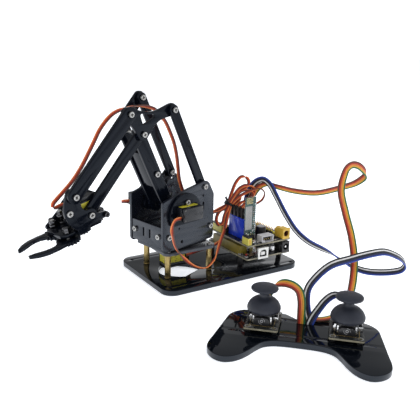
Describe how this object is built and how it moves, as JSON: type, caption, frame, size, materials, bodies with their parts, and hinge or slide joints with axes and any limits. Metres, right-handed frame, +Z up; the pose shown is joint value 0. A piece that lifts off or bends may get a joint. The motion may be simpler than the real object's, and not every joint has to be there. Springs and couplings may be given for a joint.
{
  "type": "desktop robot arm",
  "caption": "Desktop robot arm of black acrylic plates with a two-finger claw, four small servos, a control board and a wired two-stick handset.",
  "frame": {"origin": "middle of the base plate's underside, on the surface that the arm stands on", "axes": "+Z up; +X along the base plate towards the control board, so the arm points along -X; +Y towards the far side"},
  "size_m": [0.3083, 0.2883, 0.1729],
  "materials": {
    "acrylic_black": "glossy black acrylic sheet with sawn edges",
    "base_black": "polished black acrylic sheet",
    "brass": "plain turned hexagonal brass",
    "servo_case": "smoky translucent plastic case",
    "screw_steel": "bright zinc-plated steel",
    "board_black": "black solder mask on glass-fibre board",
    "part_yellow": "yellow moulded socket",
    "part_blue": "blue moulded pin housing",
    "part_green": "small green circuit board in a clear sleeve",
    "stick_rubber": "dark grey moulded thumb cap",
    "stick_case": "black moulded case",
    "wire_warm": "ribbon of brown, red, orange, yellow and green wires",
    "wire_cool": "ribbon of blue, purple, grey, white and black wires",
    "wire_orange": "three-wire lead of brown, red and orange wires"
  },
  "bodies": {
    "base": {"base_plate": "base_black", "brass_post_1": "brass", "brass_post_2": "brass", "brass_post_3": "brass", "brass_post_4": "brass", "servo_deck": "acrylic_black", "base_servo": "servo_case", "control_board": "board_black", "sensor_shield": "board_black", "power_socket": "part_yellow", "servo_header": "part_blue", "wireless_module": "part_green", "handset_plate": "base_black", "stick_module_left": "stick_case", "stick_module_right": "stick_case", "ribbon_warm": "wire_warm", "ribbon_cool": "wire_cool", "lead_stick_left": "wire_warm", "lead_stick_right": "wire_cool", "lead_base": "wire_orange"},
    "turret": {"turret_floor": "acrylic_black", "side_plate_near": "acrylic_black", "side_plate_far": "acrylic_black", "cross_plate": "acrylic_black", "servo_collar_near": "acrylic_black", "servo_collar_far": "acrylic_black", "shoulder_servo": "servo_case", "elbow_servo": "servo_case", "lead_shoulder": "wire_orange", "lead_elbow": "wire_orange", "lead_claw_back": "wire_orange"},
    "main_arm": {"main_arm_near": "acrylic_black", "main_arm_far": "acrylic_black", "main_arm_web": "acrylic_black"},
    "crank": {"crank": "acrylic_black"},
    "crank_pin": {"crank_pin": "screw_steel"},
    "drive_rod": {"drive_rod": "acrylic_black"},
    "level_plate": {"level_plate": "acrylic_black", "elbow_screw": "screw_steel"},
    "forearm": {"forearm_near": "acrylic_black", "forearm_far": "acrylic_black", "tail_screw": "screw_steel", "lead_claw_front": "wire_orange"},
    "rear_level_rod": {"rear_level_rod": "acrylic_black"},
    "front_level_rod": {"front_level_rod": "acrylic_black"},
    "claw": {"claw_side_near": "acrylic_black", "claw_side_far": "acrylic_black", "claw_deck": "acrylic_black", "claw_servo": "servo_case", "wrist_screw_near": "screw_steel", "wrist_screw_far": "screw_steel"},
    "claw_gear": {"claw_gear": "acrylic_black"},
    "claw_finger_near": {"claw_finger_near": "acrylic_black"},
    "claw_finger_far": {"claw_finger_far": "acrylic_black"},
    "stick_yoke_left": {"stick_yoke_left": "stick_case"},
    "stick_stem_left": {"stick_stem_left": "stick_case"},
    "stick_cap_left": {"stick_cap_left": "stick_rubber"},
    "stick_yoke_right": {"stick_yoke_right": "stick_case"},
    "stick_stem_right": {"stick_stem_right": "stick_case"},
    "stick_cap_right": {"stick_cap_right": "stick_rubber"}
  },
  "joints": [
    {"name": "base_yaw", "type": "hinge", "parent": "base", "child": "turret", "pos_m": [-0.0369, 0.0008, 0.033], "axis": [0, 0, 1], "range_deg": [-100, 78], "deforming": ["lead_claw_back", "lead_elbow", "lead_shoulder"]},
    {"name": "shoulder", "type": "hinge", "parent": "turret", "child": "main_arm", "pos_m": [-0.05562, -0.00298, 0.0692], "axis": [-0.198, 0.9802, 0], "range_deg": [-30, 35], "deforming": ["lead_claw_back", "lead_claw_front"]},
    {"name": "elbow_drive", "type": "hinge", "parent": "turret", "child": "crank", "pos_m": [-0.05562, -0.00298, 0.0692], "axis": [-0.198, 0.9802, 0], "range_deg": [-20, 35], "deforming": ["lead_claw_back", "lead_claw_front"]},
    {"name": "crank_pin_turn", "type": "hinge", "parent": "crank", "child": "crank_pin", "pos_m": [-0.03239, 0.00171, 0.09549], "axis": [-0.198, 0.9802, 0], "range_deg": [-35, 20]},
    {"name": "drive_rod_turn", "type": "hinge", "parent": "crank_pin", "child": "drive_rod", "pos_m": [-0.03239, 0.00171, 0.09549], "axis": [-0.198, 0.9802, 0], "range_deg": [-30, 35]},
    {"name": "level_plate_turn", "type": "hinge", "parent": "main_arm", "child": "level_plate", "pos_m": [-0.09002, -0.00993, 0.14109], "axis": [-0.198, 0.9802, 0], "range_deg": [-35, 30]},
    {"name": "elbow", "type": "hinge", "parent": "level_plate", "child": "forearm", "pos_m": [-0.09002, -0.00993, 0.14109], "axis": [-0.198, 0.9802, 0], "range_deg": [-20, 35], "deforming": ["lead_claw_back", "lead_claw_front"]},
    {"name": "rear_rod_turn", "type": "hinge", "parent": "turret", "child": "rear_level_rod", "pos_m": [-0.02563, 0.00308, 0.0878], "axis": [-0.198, 0.9802, 0], "range_deg": [-30, 35]},
    {"name": "front_rod_turn", "type": "hinge", "parent": "level_plate", "child": "front_level_rod", "pos_m": [-0.10561, -0.01308, 0.15909], "axis": [-0.198, 0.9802, 0], "range_deg": [-20, 35]},
    {"name": "wrist", "type": "hinge", "parent": "forearm", "child": "claw", "pos_m": [-0.14252, -0.02054, 0.08167], "axis": [-0.198, 0.9802, 0], "range_deg": [-35, 20], "deforming": ["lead_claw_front"]},
    {"name": "claw_drive", "type": "hinge", "parent": "claw", "child": "claw_gear", "pos_m": [-0.14296, -0.02511, 0.06605], "axis": [-0.2038, -0.0412, 0.9781], "range_deg": [-42, 16]},
    {"name": "finger_near_turn", "type": "hinge", "parent": "claw", "child": "claw_finger_near", "pos_m": [-0.15724, -0.03371, 0.06271], "axis": [-0.2038, -0.0412, 0.9781], "range_deg": [-11.57, 30.34]},
    {"name": "finger_far_turn", "type": "hinge", "parent": "claw", "child": "claw_finger_far", "pos_m": [-0.1612, -0.01411, 0.06271], "axis": [-0.2038, -0.0412, 0.9781], "range_deg": [-30.34, 11.57]},
    {"name": "stick_left_tilt_fore", "type": "hinge", "parent": "base", "child": "stick_yoke_left", "pos_m": [-0.0403, -0.13849, 0.0148], "axis": [0.7022, -0.712, 0], "range_deg": [-20, 20], "stiffness_Nm_per_rad": 0.06},
    {"name": "stick_left_tilt_side", "type": "hinge", "parent": "stick_yoke_left", "child": "stick_stem_left", "pos_m": [-0.0403, -0.13849, 0.0148], "axis": [0.712, 0.7022, 0], "range_deg": [-20, 20], "stiffness_Nm_per_rad": 0.06},
    {"name": "stick_left_press", "type": "slide", "parent": "stick_stem_left", "child": "stick_cap_left", "axis": [0, 0, -1], "range_m": [0, 0.0006], "stiffness_N_per_m": 900, "springref_m": -0.0006},
    {"name": "stick_right_tilt_fore", "type": "hinge", "parent": "base", "child": "stick_yoke_right", "pos_m": [0.0045, -0.18391, 0.0148], "axis": [0.7022, -0.712, 0], "range_deg": [-20, 20], "stiffness_Nm_per_rad": 0.06},
    {"name": "stick_right_tilt_side", "type": "hinge", "parent": "stick_yoke_right", "child": "stick_stem_right", "pos_m": [0.0045, -0.18391, 0.0148], "axis": [0.712, 0.7022, 0], "range_deg": [-20, 20], "stiffness_Nm_per_rad": 0.06},
    {"name": "stick_right_press", "type": "slide", "parent": "stick_stem_right", "child": "stick_cap_right", "axis": [0, 0, -1], "range_m": [0, 0.0006], "stiffness_N_per_m": 900, "springref_m": -0.0006}
  ],
  "couplings": [
    {"joint": "crank_pin_turn", "follows": "elbow_drive", "ratio": -1},
    {"joint": "drive_rod_turn", "follows": "shoulder", "ratio": 1},
    {"joint": "level_plate_turn", "follows": "shoulder", "ratio": -1},
    {"joint": "elbow", "follows": "elbow_drive", "ratio": 1},
    {"joint": "rear_rod_turn", "follows": "shoulder", "ratio": 1},
    {"joint": "front_rod_turn", "follows": "elbow_drive", "ratio": 1},
    {"joint": "wrist", "follows": "elbow_drive", "ratio": -1},
    {"joint": "finger_near_turn", "follows": "claw_drive", "ratio": -0.72222},
    {"joint": "finger_far_turn", "follows": "claw_drive", "ratio": 0.72222}
  ]
}
